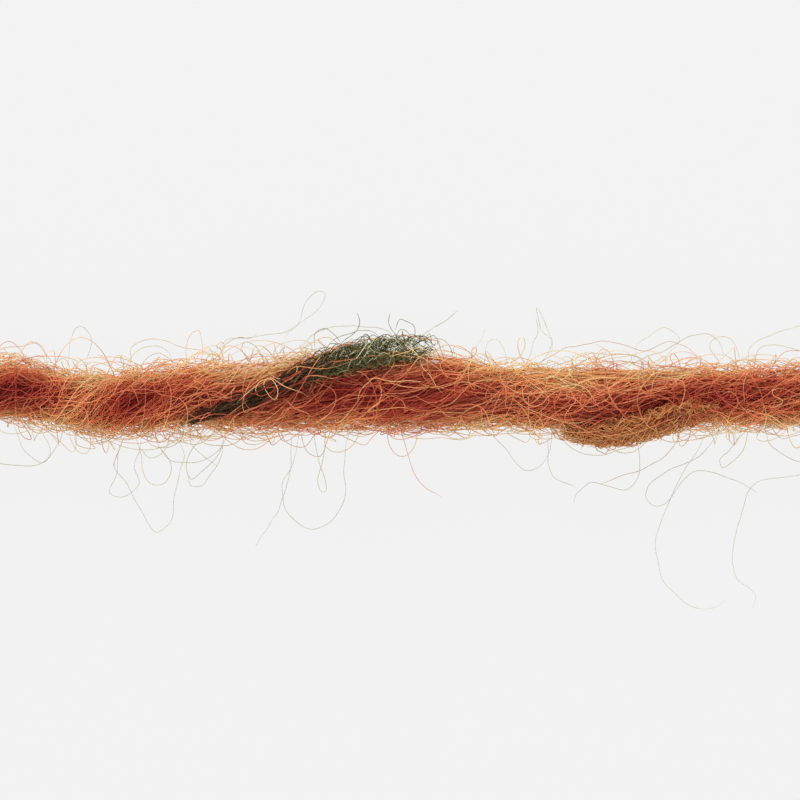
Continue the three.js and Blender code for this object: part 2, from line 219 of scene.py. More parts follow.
# Hairs that leave the strand, each with its shade, from red to nearly white, and the places in
# millimetres that it passes. An end that lies over the strand is a root.
STRAY_HAIRS = (
    # Above the strand, from the left
    (0.7, (-17.9, 0.5), (-17.7, 1.4), (-17.3, 2.1), (-16.9, 2.3), (-16.6, 1.8), (-16.4, 0.6)),
    (0.6, (-15.3, 0.6), (-14.9, 1.5), (-14.2, 1.75), (-13.7, 1.4), (-13.3, 0.6)),
    (0.4, (-12.4, 1.2), (-11.9, 1.35), (-11.4, 1.45), (-11, 1.5), (-10.6, 1.1), (-10.3, 0.7)),
    (0.3, (-12.6, 0.8), (-12.3, 1.15), (-11.8, 1.2), (-11.3, 1), (-10.9, 0.7)),
    (0.26, (-12.4, 0.7), (-12.1, 1.4), (-11.8, 1.6), (-11.4, 1.25), (-11.1, 0.7)),
    (0.34, (-12.2, 0.6), (-11.9, 1), (-11.5, 1.15), (-11, 0.95), (-10.5, 0.6)),
    (0.3, (-12.1, 1.3), (-11.8, 1.05), (-11.4, 0.95), (-11, 0.85), (-10.4, 0.75)),
    (0.24, (-12, 0.7), (-11.7, 0.95), (-11.3, 1), (-10.9, 0.75)),
    (0.32, (-11.8, 0.6), (-11.75, 1.1), (-11.5, 1.2), (-11.3, 0.95), (-11.35, 0.6)),
    (0.28, (-11.5, 0.6), (-11.3, 0.9), (-10.9, 0.95), (-10.4, 0.6)),
    (0.36, (-11.3, 0.6), (-11.1, 1.05), (-10.8, 1.1), (-10.6, 0.8), (-10.65, 0.5)),
    (0.3, (-12.5, 1), (-12, 0.85), (-11.5, 0.8), (-11, 0.75), (-10.3, 0.6)),
    (0.5, (-11.6, 0.7), (-11.4, 1.3), (-11.15, 1.55), (-10.8, 1.4), (-10.55, 0.7)),
    (0.6, (-10.5, 0.5), (-10.4, 0.85), (-10.15, 1.05), (-9.95, 0.85), (-10, 0.5)),
    (0.92, (-10, 0.8), (-10, 1.5), (-9.85, 1.95), (-9.6, 2), (-9.35, 1.55), (-9.5, 0.8)),
    (0.62, (-8.2, 0.7), (-8.1, 1), (-8.15, 1.35), (-7.9, 1.55), (-7.5, 1.65), (-7.1, 1.6),
     (-6.75, 1.45), (-6.3, 1.35), (-5.9, 1.25), (-5.6, 1)),
    (0.7, (-8.25, 0.75), (-8.05, 1.15), (-7.7, 1.4), (-7.4, 1.45), (-7.15, 1.35), (-6.95, 1.2),
     (-6.85, 0.9)),
    (0.7, (-7.8, 0.75), (-7.65, 1.05), (-7.3, 1.2), (-7, 1.1), (-6.7, 0.9)),
    (0.42, (-6.35, 0.8), (-6.45, 1.3), (-6.45, 1.6), (-6.3, 1.85), (-6.1, 1.9), (-6, 1.7),
     (-5.95, 1.3), (-6, 0.85)),
    (0.6, (-6.05, 0.6), (-5.75, 0.9), (-5.45, 1.15), (-5.3, 1.45), (-5.4, 1.55), (-5.55, 1.4),
     (-5.4, 1.35), (-5.2, 1.55), (-4.85, 1.7), (-4.55, 1.65), (-4.35, 1.8)),
    (0.93, (-5.6, 1.2), (-5.25, 1.6), (-4.6, 1.7), (-3.55, 1.85), (-3.05, 2.15), (-2.9, 2.75),
     (-2.5, 3.1), (-2.25, 3), (-2.5, 2.55), (-3, 2.15), (-3.4, 1.8), (-3.6, 1.2)),
    (0.85, (-3, 1.4), (-2.55, 1.8), (-1.85, 2.05), (-1.1, 2), (-0.7, 2), (-0.3, 1.85), (-0.1, 1.4)),
    (0.85, (2.6, 2), (2.5, 1.7), (2.2, 1.3), (2.05, 0.95)),
    (0.8, (2.5, 0.8), (2.65, 1.55), (2.9, 1.65), (3.1, 1.35), (3.25, 0.9)),
    (0.85, (3.8, 0.9), (3.95, 1.3), (4, 1.55), (4.15, 1.75), (4.2, 2), (4.15, 2.3)),
    (0.9, (4.2, 0.9), (4.5, 1.3), (4.6, 1.65), (4.3, 1.9), (4.2, 2.2), (4.15, 2.6), (4.3, 2.45),
     (4.45, 2), (4.6, 1.55), (4.55, 1.1)),
    (0.42, (3.95, 0.75), (4.35, 1), (4.9, 1.35), (5.55, 1.45), (6.05, 1.6), (6.6, 1.5), (7.4, 1.3),
     (7.9, 1.5), (8.3, 1.55), (8.65, 1.4), (9, 1.1)),
    (0.6, (4.5, 0.75), (5.1, 1), (5.85, 1.2), (6.85, 1.15), (7.15, 1.1), (7.4, 0.85)),
    (0.8, (5, 0.7), (5.6, 1), (6.1, 1.1), (6.2, 1.3), (5.9, 1.5)),
    (0.85, (6.95, 0.9), (7.1, 1.2), (7.15, 1.45), (7.4, 1.65), (7.7, 1.85), (8.05, 2), (8.45, 1.65),
     (8.15, 1.25), (7.8, 0.9)),
    (0.62, (6.7, 0.75), (7.2, 1), (7.7, 1.2), (8.1, 1.35), (8.4, 1.55), (9, 1.8), (9.35, 1.8),
     (9.65, 1.55), (9.75, 1.2)),
    (0.62, (9.6, 0.9), (9.35, 1.45), (9.65, 1.7), (10.05, 1.6), (10.25, 0.9)),
    (0.8, (10.4, 0.8), (10.55, 1.3), (10.95, 1.65), (11.4, 1.85), (12, 2), (12.5, 2.15)),
    (0.7, (10.55, 0.75), (10.8, 1.3), (11.1, 1.45), (11.5, 1.45), (12, 1.3), (12.5, 0.9)),
    (0.3, (11.15, 0.7), (11.4, 1.1), (11.6, 1.25), (12, 1.3), (12.45, 1.2), (12.7, 0.75)),
    (0.7, (12.4, 0.6), (12.8, 1.3), (13.1, 1.9), (13.3, 2.5)),
    (0.7, (14.3, 0.7), (14.6, 1.8), (15.3, 2.5), (15.9, 2.3), (16, 1.5), (16.4, 0.5)),
    # Below the strand, from the left
    (0.5, (-9.4, -1), (-9.2, -1.35), (-8.7, -1.45), (-8.3, -1.2), (-8.2, -0.9)),
    (0.35, (-8.9, -1), (-8.5, -1.4), (-7.9, -1.5), (-7.4, -1.35), (-7.2, -1)),
    (0.6, (-7.7, -1), (-7.5, -1.5), (-7, -1.65), (-6.6, -1.4), (-6.5, -1)),
    (0.45, (-7, -0.9), (-6.7, -1.4), (-6.2, -1.55), (-5.7, -1.3), (-5.5, -0.9)),
    (0.6, (-6.2, -0.9), (-5.9, -1.5), (-5.3, -1.6), (-4.8, -1.35), (-4.6, -1)),
    (0.4, (-3.6, -1.1), (-3.4, -1.5), (-2.9, -1.6), (-2.6, -1.3), (-2.5, -1)),
    (0.35, (-3, -1.1), (-2.8, -1.75), (-2.4, -1.9), (-2.2, -1.5), (-2.1, -1.1)),
    (0.8, (-16.7, -0.7), (-16.5, -2.2), (-15.9, -3.1), (-15.2, -2.8), (-15.2, -1.7), (-15.1, -0.6)),
    (0.7, (-13.2, -0.6), (-13.5, -1.5), (-13.4, -2.2), (-12.9, -2.7)),
    (0.8, (-12.9, -1.4), (-12.5, -1.95), (-12, -2.15), (-11.2, -2.2), (-10.6, -1.9), (-10.2, -1.3),
     (-10.15, -0.7)),
    (0.88, (-11.6, -0.9), (-11.4, -1.7), (-10.9, -2.1), (-10.6, -1.8), (-10.8, -1)),
    (0.5, (-9.75, -1), (-9.75, -1.5), (-9.5, -1.65), (-9.2, -1.65), (-9.4, -1.45), (-9.75, -1)),
    (0.55, (-9.1, -1.25), (-8.6, -1.5), (-7.85, -1.7), (-7.1, -1.6), (-6.45, -1.2), (-6.1, -0.9)),
    (0.5, (-8.3, -1.3), (-8.5, -1.8), (-8.7, -2.2)),
    (0.86, (-8.4, -1.5), (-8.65, -2.25), (-8.25, -2.8), (-7.85, -3.6), (-7.4, -4.2), (-7, -3.95),
     (-6.85, -3.15), (-6.7, -2.45), (-6.55, -1.9), (-6.7, -1.2)),
    (0.95, (-8.4, -1.5), (-8.6, -2.35), (-8.8, -3), (-8.4, -3.15), (-7.95, -2.75), (-8.05, -2.25),
     (-7.85, -1.75), (-7.8, -1.3)),
    (0.66, (-7.95, -1.3), (-7.8, -1.9), (-7.8, -2.35), (-7.55, -2.75), (-7.2, -2.75), (-6.95, -2.4),
     (-6.95, -2.05), (-7.25, -1.65), (-7.35, -1.3)),
    (0.9, (-7.85, -1.6), (-7.55, -1.95), (-7.25, -1.85), (-6.95, -1.45), (-6.95, -1.1)),
    (0.88, (-7.25, -1.6), (-6.95, -2.05), (-6.5, -2.1), (-5.9, -2), (-5.5, -1.75), (-5.2, -1.3)),
    (0.9, (-6.3, -1.3), (-6.25, -1.6), (-5.95, -1.9), (-5.55, -2.2)),
    (0.82, (-5.95, -1.3), (-6.25, -1.7), (-6.5, -2.2), (-6.35, -2.6), (-6.1, -2.45), (-5.6, -2),
     (-5.3, -1.4)),
    (0.97, (-6.45, -2.5), (-6.35, -2.8), (-6, -2.8), (-5.75, -2.45), (-5.4, -1.9), (-5.3, -1.3)),
    (0.97, (-3.25, -1.3), (-3.35, -2.45), (-3.7, -3.55), (-4.1, -4.2), (-4.4, -4.65)),
    (0.9, (-3, -1.1), (-3.2, -2), (-3.55, -2.7), (-3.55, -3.3), (-3.3, -3.75), (-2.7, -4.15),
     (-2.2, -3.95), (-1.75, -3.4), (-1.65, -2.9), (-1.7, -2.3), (-1.65, -1.8), (-1.5, -1)),
    (0.78, (-2.6, -1.1), (-2.45, -2.1), (-2.3, -2.5), (-2.25, -2.95), (-2.4, -3), (-2.5, -2.7),
     (-2.35, -2.1), (-2.2, -1.1)),
    (0.35, (-0.1, -0.9), (0.1, -1.35), (0.25, -1.85), (0.4, -2.35), (0.6, -2.7), (1.25, -3.15)),
    (0.92, (2.4, -0.8), (2.75, -1.25), (3.2, -1.65), (3.5, -2.1), (3.85, -2.35), (4.3, -2.15),
     (4.5, -1.75), (4.55, -1.1)),
    (0.88, (4.45, -1.3), (4.5, -2.15), (4.7, -2.55), (5.35, -2.85)),
    (0.55, (5.2, -1.2), (5.7, -1.5), (6.4, -1.6), (7.2, -1.5), (8, -1.2), (8.6, -0.9)),
    (0.6, (4.4, -1), (4.9, -1.25), (5.5, -1.5), (6.1, -1.6), (6.8, -1.3)),
    (0.66, (4.8, -1.3), (5.3, -1.75), (6, -1.85), (6.65, -1.7), (7.2, -1.5), (7.85, -1.3)),
    (0.9, (5.3, -3.35), (5.4, -3), (5.8, -2.7), (6.4, -2.85), (6.9, -2.9), (7.25, -2.5),
     (7.25, -2.05), (7.1, -1.3)),
    (0.45, (8.5, -0.95), (8.3, -1.5), (7.95, -1.95), (7.35, -2.3), (6.75, -2.5), (6.1, -2.75)),
    (0.92, (9.25, -0.95), (9.05, -1.65), (8.7, -2.2), (8.3, -3), (7.9, -3.95), (7.75, -4.6),
     (7.8, -5.05), (8.05, -5.75), (8.65, -6.35), (9.35, -6.55), (9.9, -6.3)),
    (0.93, (9.6, -1.1), (9.2, -1.8), (8.6, -2.15), (8.05, -2.4), (7.55, -2.8), (7.45, -3.15),
     (7.7, -3.4), (8.05, -3.35), (8.35, -3), (8.65, -2.55), (9.1, -2.35), (9.8, -2.5),
     (10.5, -2.8), (10.85, -3)),
    (0.8, (10.3, -1.05), (9.95, -1.75), (9.7, -2), (9.8, -2.25), (10.15, -2), (10.4, -1.65),
     (10.45, -1)),
    (0.78, (10.95, -1.05), (11.15, -1.5), (11.5, -1.8), (12, -2.05), (12.45, -2.1)),
    (0.95, (13.4, -1), (12.65, -2.25), (12, -2.5), (10.95, -2.65), (10.55, -3.05), (10.3, -3.9),
     (10.1, -4.75), (10.1, -5.2), (10.25, -5.65), (10.6, -5.9), (10.8, -6.15), (10.7, -6.5)),
    (0.6, (12.8, -0.8), (12.9, -1.9), (13.5, -2.5), (14.2, -2.1), (14.4, -0.7)),
    (0.8, (16.3, -0.8), (16.8, -2.1), (17.4, -2.9), (18, -2.2), (18, -0.7)),
)

# Fibres that lie loose over the front of the strand
FRONT_HAIRS = (
    (0.6, (-17.5, -0.9), (-16.6, -0.2), (-15.8, 0.4), (-15, 0.3), (-14.6, -0.2), (-15.2, -0.5),
     (-15.9, 0), (-15.4, 0.7)),
    (0.7, (-10.4, -0.8), (-10, -1.25), (-9.5, -1.15), (-9.3, -0.8)),
    (0.6, (-9.8, -0.8), (-9.5, -1.2), (-9, -1.3), (-8.6, -1), (-8.5, -0.7)),
    (0.66, (-8.9, -0.8), (-8.6, -1.25), (-8.1, -1.35), (-7.6, -1.25), (-7.3, -0.8)),
    (0.5, (-8.1, -0.8), (-7.8, -1.3), (-7.2, -1.45), (-6.8, -1.2), (-6.7, -0.8)),
    (0.6, (-7.2, -0.7), (-7, -1.2), (-6.5, -1.35), (-6, -1.2), (-5.8, -0.8)),
    (0.66, (-6.5, -0.8), (-6.1, -1.3), (-5.6, -1.4), (-5.2, -1.2), (-5, -0.8)),
    (0.6, (-9, 0.6), (-9.1, 0.25), (-9.5, -0.25), (-9.65, -0.7), (-9.6, -1)),
    (0.6, (-8.2, 0.7), (-8.3, 0.45), (-8.5, 0), (-9.05, -0.5), (-9.25, -0.85)),
    (0.78, (-5, -0.45), (-4.8, -0.25), (-4.5, 0), (-4.15, 0.3), (-3.9, 0.45)),
    (0.74, (-4, 0.75), (-3.75, 0.5), (-3.5, 0.4), (-3.25, 0.4), (-3.05, 0.6), (-3.05, 0.8),
     (-3.25, 0.85), (-3.45, 0.7)),
    (0.76, (-2.65, -0.25), (-2.85, -0.05), (-3.35, 0.2), (-3.85, 0.45), (-4.05, 0.3), (-3.95, 0.05),
     (-3.7, -0.2), (-3.6, -0.1), (-3.6, 0.15), (-3.8, 0.4), (-4.1, 0.35), (-4.25, 0.2),
     (-4.25, 0.05), (-4.05, -0.15), (-3.8, -0.15)),
    (0.55, (-3.8, -0.15), (-3.4, -0.2), (-3.1, -0.45), (-2.7, -0.6), (-2.75, -0.8), (-2.7, -1)),
    (0.5, (-3, 0.15), (-2.9, 0.4), (-2.6, 0.5), (-2.25, 0.5), (-2, 0.45), (-1.7, 0.55), (-1.45, 0.65)),
    (0.62, (-1.5, -0.8), (-1.15, -0.7), (-0.85, -0.45), (-0.6, -0.25), (-0.55, 0.05), (-0.65, 0.35),
     (-0.85, 0.5)),
    (0.74, (-1.3, -0.35), (-1.25, -0.2), (-1.15, 0.1), (-0.95, 0.3), (-0.75, 0.45), (-0.5, 0.4),
     (-0.15, 0.35), (0.2, 0.35), (0.6, 0.35), (0.85, 0.45)),
    (0.6, (-0.7, 0.1), (-0.55, 0.25), (-0.25, 0.3), (0.2, 0.2), (0.65, 0.15), (1.1, 0.35)),
    (0.6, (-0.35, 1.1), (-0.3, 0.8), (-0.05, 0.8), (0.2, 0.85), (0.5, 1.05)),
    (0.82, (-0.1, 1.75), (0.2, 1.4), (0.5, 1.15), (0.65, 0.8), (0.9, 0.5), (1.1, 0.2), (1.3, -0.05)),
    (0.56, (3.85, 0.45), (3.65, 0.25), (3.65, 0), (3.7, -0.25), (3.95, -0.4), (4.25, -0.3),
     (4.4, -0.1), (4.6, 0.05), (4.85, 0.15), (5.05, 0.05), (5.2, -0.15), (5.4, -0.35), (5.65, -0.4),
     (5.9, -0.3), (6.15, -0.15), (6.3, 0.05), (6.15, 0.2), (5.9, 0.25), (5.6, 0.1), (5.7, -0.15),
     (5.9, -0.35)),
    (0.62, (5.05, -1.05), (4.9, -0.7), (5.05, -0.4), (5.2, -0.2), (5, -0.1), (4.7, -0.05)),
    (0.6, (5.3, 0.5), (5.65, 0.3), (6.05, 0.2), (6.3, 0.05), (6.55, 0.3), (6.65, 0.55)),
    (0.52, (5.75, -0.05), (6.05, -0.2), (6.35, -0.3), (6.85, -0.25), (7.25, -0.1), (7.9, 0.05)),
    (0.5, (6.25, -0.5), (6.4, -0.65), (6.65, -0.7)),
    (0.6, (6.35, -0.85), (6.8, -1.05), (7, -1.2), (7.2, -1.4)),
    (0.55, (6.8, 0), (7.2, 0), (7.65, 0.05), (7.95, 0.35), (8.1, 0.8), (8.5, 1.05), (8.9, 1.05),
     (8.95, 0.8)),
    (0.5, (8.25, -0.65), (8.9, -0.35), (9.3, -0.55), (9.25, -1.05)),
    (0.5, (9.5, -0.35), (9.55, -0.1), (9.8, 0.05), (10, -0.1), (10, -0.4), (9.85, -0.6),
     (9.65, -0.6), (9.5, -0.4)),
    (0.72, (10.7, -0.35), (11.1, -0.4), (11.35, -0.3), (11.35, -0.2), (11.1, -0.1), (11.05, 0.05),
     (11.25, 0.15), (11.7, 0.2)),
    (0.55, (13.2, 0.6), (14, 0.9), (14.9, 0.4), (15.5, -0.3), (16.3, -0.5), (16.9, 0.1), (16.4, 0.6)),
)

# Hairs that leave the green slub, from nearly black to pale
GREEN_HAIRS = (
    (0.5, (-4.5, 0.8), (-4.75, 1.35), (-4.65, 1.55), (-4.4, 1.45), (-4.2, 1.15), (-4, 0.8)),
    (0.5, (-2.55, 1.4), (-2.55, 1.75), (-2.45, 1.9), (-2.25, 1.95), (-1.95, 1.75), (-1.75, 1.5)),
    (0.6, (-2.1, 1.5), (-1.95, 1.65), (-1.5, 1.8), (-1.2, 1.9), (-0.8, 1.85), (-0.6, 1.6)),
    (0.2, (-1.9, 1.3), (-1.65, 1.6), (-1.45, 1.75), (-1.3, 1.95), (-1.25, 2.2), (-1.3, 2.45)),
    (0.3, (0.15, 1.55), (-0.1, 1.75), (-0.25, 1.95), (-0.35, 2.2), (-0.3, 2.45)),
    (0.25, (-0.15, 1.9), (0, 2.25), (0.2, 2.2), (0.4, 2.05), (0.45, 1.7), (0.4, 1.3)),
    (0.5, (-0.15, 1.6), (0, 1.9), (0.2, 1.85), (0.45, 1.5)),
    (0.8, (0.55, 1.6), (0.65, 1.75), (0.95, 1.95), (1.4, 2.2), (1.7, 2.5)),
    (0.3, (0.75, 1.45), (0.8, 1.7), (0.9, 1.8), (0.95, 1.4)),
    (0.6, (0.7, 1.5), (0.9, 1.65), (1.1, 1.65), (1.35, 1.55), (1.55, 1.3), (1.6, 1.1)),
)


# Sizes and colours that a user would change

def length_setting(name, description, millimetres):
    return bpy.props.FloatProperty(
        name=name, description=description, default=millimetres * MM, min=0.0, precision=6,
        subtype="DISTANCE", unit="LENGTH",
    )


def count_setting(name, description, default):
    return bpy.props.IntProperty(name=name, description=description, default=default, min=1)


def colour_setting(name, description, red, green, blue):
    return bpy.props.FloatVectorProperty(
        name=name, description=description, default=(red, green, blue, 1.0), size=4,
        min=0.0, max=1.0, subtype="COLOR",
    )


class YarnSizes(bpy.types.PropertyGroup):
    """How thick the fibres are, how many there are, and how far they stray."""

    fibre: length_setting("Fibre", "Thickness of a fibre in the strand", 0.028)
    hair: length_setting("Hair", "Thickness of a fibre that strays from the strand", 0.024)
    inner: count_setting("Inner fibres", "Fibres that lie close to the core", 3400)
    outer: count_setting("Outer fibres", "Fibres on the outside of the strand", 2200)
    fuzz: count_setting("Fuzz", "Loose arcs that stand off the strand", 1300)
    curls: count_setting("Curls", "Loose fibres that curl into loops", 900)
    green: count_setting("Green fibres", "Fibres in the green slub", 360)
    ochre: count_setting("Ochre fibres", "Fibres in the ochre slub", 460)
    fuzz_lift: length_setting("Fuzz lift", "How high the fuzz stands off the strand", 0.2)
    seed: count_setting("Seed", "Start of the random draws", 11)


class YarnColours(bpy.types.PropertyGroup):
    """The shades of wool that are blended in the strand."""

    wine: colour_setting("Wine", "Deepest red of the strand", 0.19, 0.026, 0.022)
    crimson: colour_setting("Crimson", "Blue-red wool", 0.42, 0.05, 0.05)
    rust: colour_setting("Rust", "Main red-brown wool", 0.56, 0.115, 0.072)
    orange: colour_setting("Orange", "Orange wool", 0.88, 0.32, 0.165)
    gold: colour_setting("Gold", "Golden wool", 1.0, 0.6, 0.26)
    straw: colour_setting("Straw", "Yellow-green wool", 0.94, 0.78, 0.38)
    cream: colour_setting("Cream", "Palest wool", 0.98, 0.92, 0.72)
    blush: colour_setting("Blush", "Pink-red stray hairs", 0.86, 0.45, 0.36)
    sand: colour_setting("Sand", "Yellow-brown stray hairs", 0.86, 0.67, 0.4)
    reed: colour_setting("Reed", "Yellow-green stray hairs", 0.78, 0.76, 0.45)
    ash: colour_setting("Ash", "Palest stray hairs", 0.78, 0.77, 0.72)
    glow: colour_setting("Glow", "Light that gets through red wool", 0.85, 0.16, 0.08)
    ember: colour_setting("Ember", "Light that gets through loose red wool", 1.0, 0.36, 0.17)
    pale_glow: colour_setting("Pale glow", "Light that gets through golden wool", 1.0, 0.82, 0.46)
    soot: colour_setting("Soot", "Deepest shade of the green slub", 0.045, 0.022, 0.012)
    bark: colour_setting("Bark", "Brown of the green slub", 0.1, 0.055, 0.024)
    moss: colour_setting("Moss", "Middle green of the green slub", 0.105, 0.094, 0.038)
    sage: colour_setting("Sage", "Paler green of the green slub", 0.22, 0.235, 0.085)
    mist: colour_setting("Mist", "Palest green of the green slub", 0.78, 0.77, 0.5)
    umber: colour_setting("Umber", "Deepest shade of the ochre slub", 0.52, 0.19, 0.09)
    ochre: colour_setting("Ochre", "Main shade of the ochre slub", 0.82, 0.39, 0.16)
    honey: colour_setting("Honey", "Palest shade of the ochre slub", 0.9, 0.68, 0.32)


class YarnStage(bpy.types.PropertyGroup):
    """The plain floor, the lights and the camera."""

    floor_tone: bpy.props.FloatProperty(
        name="Floor tone", description="Share of light that the floor sends back", default=0.03,
        min=0.0, max=1.0, subtype="FACTOR",
    )
    floor_glow: bpy.props.FloatProperty(
        name="Floor glow", description="Light that the floor gives of itself", default=0.85, min=0.0,
    )
    key: bpy.props.FloatProperty(
        name="Key light", description="Power of the soft light above", default=0.26, min=0.0,
        unit="POWER",
    )
    sky: bpy.props.FloatProperty(
        name="Sky", description="Light from all round", default=1.05, min=0.0,
    )
    view_width: length_setting("View width", "Width that the picture takes in", 24.0)
    lens: bpy.props.FloatProperty(
        name="Lens", description="Focal length of the camera", default=120.0, min=1.0,
        unit="CAMERA",
    )


# The shape of the strand

def along(rows, column, x):
    """A value from one column of a table, on a smooth curve through the rows."""
    places, values = rows["x"], rows[column]
    slopes = np.empty_like(values)
    slopes[1:-1] = (values[2:] - values[:-2]) / (places[2:] - places[:-2])
    slopes[0] = (values[1] - values[0]) / (places[1] - places[0])
    slopes[-1] = (values[-1] - values[-2]) / (places[-1] - places[-2])
    x = np.clip(x, places[0], places[-1])
    row = np.clip(np.searchsorted(places, x) - 1, 0, len(places) - 2)
    span = places[row + 1] - places[row]
    t = (x - places[row]) / span
    rise = t * t * (3 - 2 * t) * (values[row + 1] - values[row])
    leaving = t * (1 - t) ** 2 * span * slopes[row]
    arriving = t * t * (1 - t) * span * slopes[row + 1]
    return values[row] + rise + leaving - arriving


def smoothstep(value, low, high):
    t = np.clip((value - low) / (high - low), 0, 1)
    return t * t * (3 - 2 * t)


def mean_radius(x):
    return along(STATIONS, "thick", x) / 2


def axis_height(x):
    return AXIS_HEIGHT * mean_radius(x)


def twist(x):
    return np.radians(along(STATIONS, "turn", x))


def round_strand(x, radius, angle, lowest):
    """Points at a radius and an angle round the strand's axis, none lower than the lowest."""
    y = along(STATIONS, "across", x) + radius * np.cos(angle)
    z = axis_height(x) + radius * np.sin(angle)
    return np.stack(np.broadcast_arrays(x, y, np.maximum(z, lowest)), -1)


def slub_section(rows, x):
    """The slub's angle round the strand, the radius of its middle, and half its width and depth."""
    angle = np.radians(along(rows, "angle", x))
    middle = mean_radius(x) + along(rows, "out", x)
    return angle, middle, along(rows, "wide", x) / 2, along(rows, "deep", x) / 2


def slub_sides(rows, x, angle):
    """The radius of the slub's inner and outer side round the strand, and none where it isn't."""
    slub_angle, middle, wide, deep = slub_section(rows, x)
    turn = (angle - slub_angle + math.pi) % FULL_TURN - math.pi
    beside = np.clip(turn * middle / (SLUB_WIDTH * wide), -1, 1)
    half = deep * np.sqrt(1 - beside * beside)
    reached = (np.abs(beside) < 1) & (x > rows["x"][0]) & (x < rows["x"][-1])
    return np.where(reached, middle - half, np.inf), np.where(reached, middle + half, 0)


def surface_radius(x, angle):
    """The strand's outer radius: soft bundles that follow the twist, drawn in at the cut ends."""
    bundle_angle = angle + twist(x)
    crest = np.sin(bundle_angle * BUNDLES / 2) ** 2 - 0.5
    taper = smoothstep(HALF_LENGTH - np.abs(x), -END_TAPER / 2, END_TAPER)
    drawn_in = END_THICKNESS + (1 - END_THICKNESS) * taper
    return mean_radius(x) * drawn_in * (1 + BUNDLE_HEIGHT * crest)


def clear_of_slubs(x, angle, radius, draw=1.0):
    """The radius, changed to pass under the slubs, or over them where the draw is low enough."""
    for rows, shares in SLUBS:
        inner, outer = slub_sides(rows, x, angle)
        crossing = np.interp(x, rows["x"][[0, -1]], shares)
        radius = np.where(draw < crossing, np.maximum(radius, outer), np.minimum(radius, inner))
    return radius


def tint_at(x, angle):
    """How much redder or more golden the wool is at a place on the strand."""
    shift = np.zeros(np.broadcast(x, angle).shape)
    for i in range(len(TINTS["x"])):
        slide = twist(x) - twist(TINTS["x"][i])
        turn = (angle + slide - np.radians(TINTS["angle"][i]) + math.pi) % FULL_TURN - math.pi
        ahead = (x - TINTS["x"][i]) / TINTS["along"][i]
        aside = turn / np.radians(TINTS["round"][i])
        shift += TINTS["shift"][i] * np.exp(-0.5 * (ahead ** 2 + aside ** 2))
    return shift


# Fibres

def shared(random, low, high, count, together=1):
    """A column of random numbers, in which neighbours of one lock share theirs."""
    locks = math.ceil(count / together)
    return np.repeat(random.uniform(low, high, (locks, 1)), together, 0)[:count]


def waves(random, distance, amplitude, lengths, together=1):
    """A crimp along each fibre: a sum of sines whose lengths and starts differ from lock to lock."""
    total = np.zeros(np.broadcast(distance, amplitude).shape)
    for _ in range(WAVES):
        length = shared(random, *lengths, len(total), together)
        start = shared(random, 0, FULL_TURN, len(total), together)
        share = shared(random, WEAKEST_WAVE, 1.0, len(total), together) * length / lengths[1]
        total += amplitude * share * np.sin(distance * FULL_TURN / length + start)
    return total


def unit(vectors):
    return vectors / np.maximum(np.linalg.norm(vectors, axis=-1, keepdims=True), 1e-9)


def tube_corners(paths, thickness):
    """The corners of a tube round each path, in rings that don't turn about it."""
    points = paths.shape[1]
    ahead = unit(np.gradient(paths, axis=1))
    side = np.empty_like(paths)
    last = np.cross(ahead[:, 0], (0.31, 0.53, 0.79))
    for i in range(points):
        last = unit(last - ahead[:, i] * (last * ahead[:, i]).sum(1, keepdims=True))
        side[:, i] = last
    other = np.cross(ahead, side)
    step = np.arange(points)
    tip = np.minimum(step, step[::-1]) / (points * TIP_SHARE)
    radius = thickness / 2 * np.clip(TIP_THICKNESS + (1 - TIP_THICKNESS) * tip, 0, 1)
    turn = np.arange(TUBE_SIDES)[:, None] * FULL_TURN / TUBE_SIDES
    ring = side[:, :, None] * np.cos(turn) + other[:, :, None] * np.sin(turn)
    return paths[:, :, None] + radius[:, None, None] * ring


def add_values(mesh, column, values):
    attribute = mesh.attributes.new(column, "FLOAT", "POINT")
    attribute.data.foreach_set("value", values.astype(np.float32))


def fibre_mesh(name, paths, thickness, values):
    """A mesh of closed tubes along paths in millimetres, with named values for each fibre or point."""
    count, points = paths.shape[:2]
    corners = tube_corners(paths, thickness).reshape(-1, 3) * MM
    ring = (np.arange(count * points) * TUBE_SIDES).reshape(count, points)
    side = np.arange(TUBE_SIDES)
    beside = (side + 1) % TUBE_SIDES
    low, high = ring[:, :-1, None], ring[:, 1:, None]
    quads = np.stack((low + side, low + beside, high + beside, high + side), -1).reshape(-1, 4)
    caps = np.concatenate((ring[:, :1] + side[::-1], ring[:, -1:] + side))
    loops = np.concatenate((quads.ravel(), caps.ravel()))
    first = np.concatenate((
        np.arange(len(quads)) * 4,
        quads.size + np.arange(len(caps)) * TUBE_SIDES,
    ))
    mesh = bpy.data.meshes.new(name)
    mesh.vertices.add(len(corners))
    mesh.vertices.foreach_set("co", corners.astype(np.float32).ravel())
    mesh.loops.add(len(loops))
    mesh.loops.foreach_set("vertex_index", loops.astype(np.int32))
    mesh.polygons.add(len(first))
    mesh.polygons.foreach_set("loop_start", first.astype(np.int32))
    mesh.polygons.foreach_set("use_smooth", np.ones(len(first), bool))
    lay_out_fibres(mesh, count, points)
    for column, value in values.items():
        add_values(mesh, column, np.repeat(np.broadcast_to(value, (count, points)), TUBE_SIDES))
    mesh.update(calc_edges=True)
    return mesh


def across_cells(cell, cells, margin, places):
    """Where places from 0 to 1 in a cell lie on a map, with a margin at the cell's edges."""
    return (cell[:, None] + margin + (1 - 2 * margin) * places) / cells


